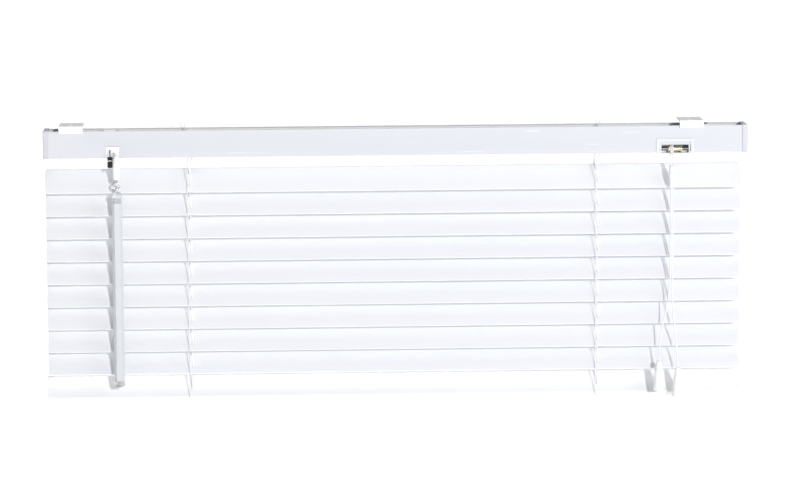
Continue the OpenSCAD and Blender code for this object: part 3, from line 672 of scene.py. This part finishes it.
def slat_mesh(x0, x1):
    """A thin crowned strip with a rolled rim along both edges and a slot for each lift cord."""
    columns, slots = slat_columns(x0, x1)
    depth = math.sqrt(SLAT_CROWN_R**2 - SLAT_HALF_WIDTH**2)
    top, under = [], []
    for x in columns:
        rows, half = slat_rows(x, x0, x1, slots)
        for y in rows:
            crown = math.sqrt(SLAT_CROWN_R**2 - y * y) - depth
            rim = max(0.0, 1 - (half - abs(y)) / RIM_WIDTH)
            thick = SLAT_HALF_THICK + RIM_SWELL * math.sin(math.pi * min(1.0, rim * 0.75))
            top.append(Vector((x, y, crown + thick)))
            under.append(Vector((x, y, crown - thick)))
    count = len(slat_rows(columns[0], x0, x1, slots)[0])
    first_open, last_open = 7, count - 8
    highlight_rim, shade_rim = [], []
    vertices = top + under
    lower = len(top)
    faces = []

    def is_open(column, row):
        middle = (columns[column] + columns[column + 1]) / 2
        in_slot = any(start < middle < end for start, end in slots)
        return in_slot and first_open <= row < last_open

    for c in range(len(columns) - 1):
        for r in range(count - 1):
            if is_open(c, r):
                continue
            a, b = c * count + r, c * count + r + 1
            d, e = a + count, b + count
            first_face = len(faces)
            faces.append((a, d, e, b))
            faces.append((lower + a, lower + b, lower + e, lower + d))
            if r == 0 or is_open(c, r - 1):
                faces.append((a, lower + a, lower + d, d))
            if r == count - 2 or is_open(c, r + 1):
                faces.append((b, e, lower + e, lower + b))
            if c == 0 or is_open(c - 1, r):
                faces.append((a, b, lower + b, lower + a))
            if c == len(columns) - 2 or is_open(c + 1, r):
                faces.append((d, lower + d, lower + e, e))
            # faces of the front rim, which get the painted highlight, and of the rear rim, which get the
            # painted shade
            if r < 2:
                highlight_rim += range(first_face, len(faces))
            if r > count - 4:
                shade_rim += range(first_face, len(faces))
    return vertices, faces, highlight_rim, shade_rim


def make_slats():
    for i, z in enumerate(SLAT_ZS, start=1):
        name = f"slat_{i}"
        low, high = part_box(name)
        vertices, faces, highlight_rim, shade_rim = slat_mesh(low.x + 1.2 * MM, high.x)
        place = Matrix.Translation((0, 0, z)) @ Matrix.Rotation(SLAT_TILT, 4, "X")
        slat = make_piece(f"{name}_strip", [place @ v for v in vertices], faces, SLAT_PAINT)
        # the front rims get the painted highlight, the rear rims the painted shade
        for material, rim in ((SLAT_HIGHLIGHT_RIM, highlight_rim), (SLAT_SHADE_RIM, shade_rim)):
            slat.data.materials.append(material)
            for index in rim:
                slat.data.polygons[index].material_index = len(slat.data.materials) - 1
        bevel = slat.modifiers.new("bevel", "BEVEL")
        bevel.width = 0.1 * MM
        bevel.segments = 2
        bevel.limit_method = "ANGLE"
        bevel.angle_limit = math.radians(50)
        slat.modifiers.new("normals", "WEIGHTED_NORMAL").keep_sharp = True
        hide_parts(name)
        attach(slat, name)


make_slats()


# ---------------------------------------------------------------- ladders
def line(a, b, step):
    count = max(1, round((b - a).length / step))
    return [a.lerp(b, k / count) for k in range(count + 1)]


def make_ladder_strings():
    """Each string is a run past the slats and a leader up to a drum."""
    for edge, side in EDGES.items():
        body = f"ladder_{edge}"
        leader_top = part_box(body)[1].z
        inward = Vector((0, MM if edge == "front" else 0, 0))
        runs, leaders = [], []
        for x in LADDER_XS:
            top = edge_point(x, side, SLAT_ZS[0])
            runs.append(twisted(line(edge_point(x, side, BOTTOM_Z), top, PATH_STEP), YARN_R))
            bend = [
                top,
                top + 0.4 * inward + millimetres(0, 0, 4),
                top + 1.5 * inward + millimetres(0.35, 0, 11),
                top + 2.3 * inward + millimetres(-0.55, 0, 15.5),
                top + 2.9 * inward + millimetres(0.2, 0, 20),
                Vector((x, top.y, leader_top)) + 3 * inward,
            ]
            leaders.append(twisted(smooth_path(bend, PATH_STEP), YARN_R))
        run = make_piece(f"{body}_strings", *join_shapes(runs), STRING_YARN)
        leader = make_piece(f"{body}_leaders", *join_shapes(leaders), STRING_YARN)
        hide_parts(body)
        for piece in (run, leader):
            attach(piece, body)
        if edge == "front":
            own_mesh(leader)
        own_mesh(run)


def make_rungs():
    """Two crossing threads under each slat at each ladder, knotted to the strings at both ends."""
    half = LADDER_R
    crown_depth = math.sqrt(SLAT_CROWN_R**2 - SLAT_HALF_WIDTH**2)
    thread_r = 0.26 * MM
    spread = 0.9 * MM
    stations = [k / 14 for k in range(-14, 15)]
    for i, z in enumerate(SLAT_ZS, start=1):
        place = Matrix.Translation((0, 0, z)) @ Matrix.Rotation(SLAT_TILT, 4, "X")
        shapes = []
        for x in LADDER_XS:
            for way in (-1, 1):
                path = []
                for s in stations:
                    y = s * half
                    reach = min(abs(y), SLAT_HALF_WIDTH)
                    crown = math.sqrt(SLAT_CROWN_R**2 - reach**2) - crown_depth
                    drop = 0.5 * MM * min(1.0, (half - abs(y)) / (1.1 * MM))
                    width = way * spread * s * min(1.0, 2.5 * (1 - abs(s)) + 0.2)
                    path.append(place @ Vector((x + width, y, 0.35 * crown - drop)))
                shapes.append(sweep(path, thread_r, sides=8, lobes=2, depth=0.2, lay=1.4 * MM))
            for side in (-1, 1):
                knot = [
                    place
                    @ (
                        Vector((x, side * half, 0))
                        + STRING_R * 1.05 * Vector((math.cos(a), math.sin(a), 0.5 * (k / 10 - 1)))
                    )
                    for k, a in ((k, k * math.pi / 5) for k in range(21))
                ]
                shapes.append(sweep(knot, thread_r, sides=8))
        rungs = make_piece(f"slat_{i}_rungs", *join_shapes(shapes), STRING_YARN)
        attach(rungs, f"slat_{i}")


def make_drum_strings():
    """The strings' ends wound in each drum's groove."""
    drum_low, drum_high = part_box("drum_left")
    axis_y = (drum_low.y + drum_high.y) / 2
    axis_z = (drum_low.z + drum_high.z) / 2
    wound_r = 3.55 * MM
    for name, x in SIDES.items():
        turns = 2.4
        count = 120
        coil = []
        for k in range(count + 1):
            angle = 2 * math.pi * turns * k / count
            offset = (k / count - 0.5) * 1.1 * MM
            y, z = axis_y + wound_r * math.cos(angle), axis_z + wound_r * math.sin(angle)
            coil.append(Vector((x + offset, y, z)))
        winding = make_piece(f"drum_{name}_winding", *twisted(coil, YARN_R), STRING_YARN)
        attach(winding, "tilt_shaft")


def make_string_tails():
    """The tied-off ends of the ladder strings, left standing above each cradle."""
    for name, x in SIDES.items():
        shapes = []
        lean = -1 if name == "left" else 1
        for reach, back in ((6.5, 11.5), (1.8, 9.8)):
            sway = lean * reach
            path = [
                Vector((x, 0, 0)) + millimetres(2.9 * lean, 8.6, -22.5),
                Vector((x, 0, 0)) + millimetres(2.9 * lean, 8.9, -15.0),
                Vector((x, 0, 0)) + millimetres(0.2 * sway + 2.0 * lean, 9.2, -8.0),
                Vector((x, 0, 0)) + millimetres(0.6 * sway + 0.8 * lean, 0.5 * (9.4 + back), -3.4),
                Vector((x, 0, 0)) + millimetres(sway, back, -0.9),
            ]
            shapes.append(twisted(smooth_path(path, PATH_STEP), YARN_R))
        tails = make_piece(f"string_tails_{name}", *join_shapes(shapes), STRING_YARN)
        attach(tails, "head_rail")


make_ladder_strings()
make_string_tails()
make_rungs()
make_drum_strings()


# ---------------------------------------------------------------- lift cords
def make_head_cords():
    """Both lift cords from the lock's roller along the rail to each ladder and down through slat 1."""
    low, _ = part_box("lift_cord_head")
    shapes = []
    for route in (HEAD_LEFT_ROUTE, HEAD_RIGHT_ROUTE):
        path = smooth_path([millimetres(*p) for p in route], PATH_STEP)
        shapes.append(twisted(path, CORD_R))
    head = make_piece("lift_cords_head", *join_shapes(shapes), CORD_YARN)
    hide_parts("lift_cord_head")
    shapes = []
    for x in LADDER_XS:
        ends = [Vector((x + SLOT_SHIFT, CORD_Y, h)) for h in (SLAT_ZS[0], low.z)]
        shapes.append(twisted(line(*ends, PATH_STEP), CORD_R))
    drop = make_piece("lift_cords_at_1", *join_shapes(shapes), CORD_YARN)
    for piece in (head, drop):
        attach(piece, "head_rail")
    gather(drop)


def gather(piece):
    """Gives a stretch of cord a copy of its mesh, of its own."""
    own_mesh(piece)


def make_lift_cords():
    """The stretch of both lift cords at each slat."""
    for i, z in enumerate(SLAT_ZS[1:], start=2):
        low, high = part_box(f"lift_cord_{i}")
        shapes = []
        for x in LADDER_XS:
            ends = [Vector((x + SLOT_SHIFT, CORD_Y, h)) for h in (high.z, low.z)]
            shapes.append(twisted(line(*ends, PATH_STEP), CORD_R))
        stretch = make_piece(f"lift_cords_at_{i}", *join_shapes(shapes), CORD_YARN)
        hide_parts(f"lift_cord_{i}")
        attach(stretch, f"carrier_{i}")
        gather(stretch)


def make_last_stretch():
    """The cords' ends down into the bottom rail, with a little to spare in the stretch above."""
    low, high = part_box("lift_cord_10")
    shapes = []
    for x in LADDER_XS:
        path = [
            Vector((x + SLOT_SHIFT, CORD_Y, high.z + 2.8 * MM)),
            Vector((x + SLOT_SHIFT, CORD_Y, high.z)),
            Vector((x + SLOT_SHIFT, RAIL_CORD_Y + 0.2 * MM, high.z - 3.5 * MM)),
            Vector((x + SLOT_SHIFT, RAIL_CORD_Y, high.z - 6.0 * MM)),
            Vector((x + SLOT_SHIFT, RAIL_CORD_Y, low.z)),
        ]
        shapes.append(twisted(smooth_path(path, PATH_STEP), CORD_R))
    ends = make_piece("lift_cords_at_10", *join_shapes(shapes), CORD_YARN)
    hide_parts("lift_cord_10")
    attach(ends, "bottom_carrier")


make_head_cords()
make_lift_cords()
make_last_stretch()
dress(["wand_hook", "wand_loop"], WIRE)
dress(["wand_sleeve"], GLOSS_PLASTIC, 0.2 * MM)
dress(["wand_connector"], CLEAR_CAP, 0.2 * MM)
dress(["lock_roller"], BRASS, 0.1 * MM)


# ---------------------------------------------------------------- tilter hood and end caps
def make_tilter_hood():
    """Two curved cheeks on the tab, with a slit between them, over the stem to the rail's edge."""
    low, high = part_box("tilt_rod")
    lean = math.radians(25)
    axis_y = (low.y + high.y) / 2 - 8.6 * MM * math.cos(lean)
    axis_z = (low.z + high.z) / 2 + 8.6 * MM * math.sin(lean)
    start = Vector((-0.238, axis_y, axis_z))
    down = Vector((0, -math.sin(lean), -math.cos(lean)))
    front = Vector((0, -math.cos(lean), math.sin(lean)))
    across = Vector((1, 0, 0))
    shapes = []
    for first, last in ((9, 108), (-108, -9)):
        vertices, faces = [], []
        angles = [math.radians(first + (last - first) * k / 16) for k in range(17)]
        stations = [
            (10.2, 2.62, 2.8), (10.8, 2.62, 3.05), (12, 2.62, 3.1), (16.6, 2.62, 3.1), (17.1, 2.7, 2.95),
        ]
        for along, inner, outer in stations:
            for r in (inner, outer):
                for a in angles:
                    out = math.cos(a) * front + math.sin(a) * across
                    vertices.append(start + along * MM * down + r * MM * out)
        ring = 2 * len(angles)
        n = len(angles)
        for k in range(len(stations) - 1):
            a, b = k * ring, (k + 1) * ring
            for q in range(n - 1):
                faces.append((a + q, b + q, b + q + 1, a + q + 1))
                faces.append((a + n + q, a + n + q + 1, b + n + q + 1, b + n + q))
            faces.append((a, a + n, b + n, b))
            faces.append((a + n - 1, b + n - 1, b + ring - 1, a + ring - 1))
        end = (len(stations) - 1) * ring
        for q in range(n - 1):
            faces.append((q, q + 1, n + q + 1, n + q))
            faces.append((end + q, end + n + q, end + n + q + 1, end + q + 1))
        shapes.append((vertices, faces))
    hood = make_piece("tilter_hood", *join_shapes(shapes), WHITE_PLASTIC)
    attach(hood, "head_rail")


def frame_ring(y_half, z_low, z_high, corner, steps=5):
    """A rectangle with round corners in Y and Z, as a list of points."""
    ring = []
    corners = (
        (y_half - corner, z_high - corner, 0),
        (-y_half + corner, z_high - corner, 90),
        (-y_half + corner, z_low + corner, 180),
        (y_half - corner, z_low + corner, 270),
    )
    for y, z, turn in corners:
        for k in range(steps + 1):
            angle = math.radians(turn + 90 * k / steps)
            ring.append((y + corner * math.cos(angle), z + corner * math.sin(angle)))
    return ring


def make_end_caps():
    """Moulded caps with rounded faces, whose skirts wrap the channel's ends."""
    rail_low, rail_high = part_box("head_channel")
    for name, sign in (("left", -1), ("right", 1)):
        low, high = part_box(f"end_cap_{name}")
        face_x = low.x if sign < 0 else high.x
        y_half = high.y
        stations = [(0.0, 0.9), (0.25, 0.35), (0.8, 0.0), (4.4, 0.0), (4.6, 0.12)]
        vertices, faces = [], []
        for along, inset in stations:
            x = face_x - sign * along * MM
            inset *= MM
            ring = frame_ring(y_half - inset, low.z + inset, high.z - inset, 1.5 * MM)
            vertices += [Vector((x, y, z)) for y, z in ring]
        count = len(vertices) // len(stations)
        slack = 0.02 * MM
        rail_box = (rail_high.y + slack, rail_low.z - slack, rail_high.z + slack)
        inner_ring = frame_ring(*rail_box, 0.7 * MM)
        for along in (4.6, 1.2):
            x = face_x - sign * along * MM
            vertices += [Vector((x, y, z)) for y, z in inner_ring]
        layers = len(stations) + 2
        for k in range(layers - 1):
            a, b = k * count, (k + 1) * count
            for q in range(count):
                n = (q + 1) % count
                faces.append((a + q, a + n, b + n, b + q))
        faces.append(tuple(range(count)))
        faces.append(tuple((layers - 1) * count + q for q in range(count)))
        cap = make_piece(f"end_cap_{name}_shell", vertices, faces, CAP_PLASTIC)
        recalculate(cap)
        cap.modifiers.new("normals", "WEIGHTED_NORMAL").keep_sharp = True
        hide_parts(f"end_cap_{name}")
        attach(cap, "head_rail")


make_tilter_hood()
make_end_caps()


# ---------------------------------------------------------------- stage
def make_stage():
    size = FLOOR_HALF
    floor_z = cad_box[0].z - FLOOR_DROP
    vertices = [
        (-size, -size, floor_z),
        (size, -size, floor_z),
        (size, size, floor_z),
        (-size, size, floor_z),
    ]
    floor = make_piece("floor", vertices, [(0, 1, 2, 3)], floor_paper("floor_paper"))


def aim(light, towards):
    light.rotation_euler = Vector(towards).to_track_quat("Z", "Y").to_euler()


def make_sun(name, elevation, azimuth, energy, spread):
    """A distant softbox. Azimuth turns from straight in front of the blind to its right."""
    elevation, azimuth = math.radians(elevation), math.radians(azimuth)
    data = bpy.data.lights.new(name, "SUN")
    data.energy = energy
    data.angle = math.radians(spread)
    sun = bpy.data.objects.new(name, data)
    level = math.cos(elevation)
    aim(sun, (level * math.sin(azimuth), -level * math.cos(azimuth), math.sin(elevation)))
    bpy.context.scene.collection.objects.link(sun)


def make_fill():
    """A broad panel off to the right, so that the blind is a little brighter at that end."""
    data = bpy.data.lights.new("fill", "AREA")
    data.shape = "DISK"
    data.size = 0.9
    data.energy = 4.5
    fill = bpy.data.objects.new("fill", data)
    fill.location = (1.1, -0.9, 0.35)
    aim(fill, fill.location)
    bpy.context.scene.collection.objects.link(fill)


def make_world():
    world = bpy.data.worlds.new("studio")
    world.use_nodes = True
    background = world.node_tree.nodes["Background"]
    background.inputs["Color"].default_value = (0.95, 0.97, 1.0, 1)
    background.inputs["Strength"].default_value = 0.28
    bpy.context.scene.world = world


make_stage()
make_world()
make_sun("key", 15, 16, 1.9, 4)
make_sun("top", 72, 180, 1.05, 12)
make_fill()
bpy.context.scene.view_settings.view_transform = "Standard"
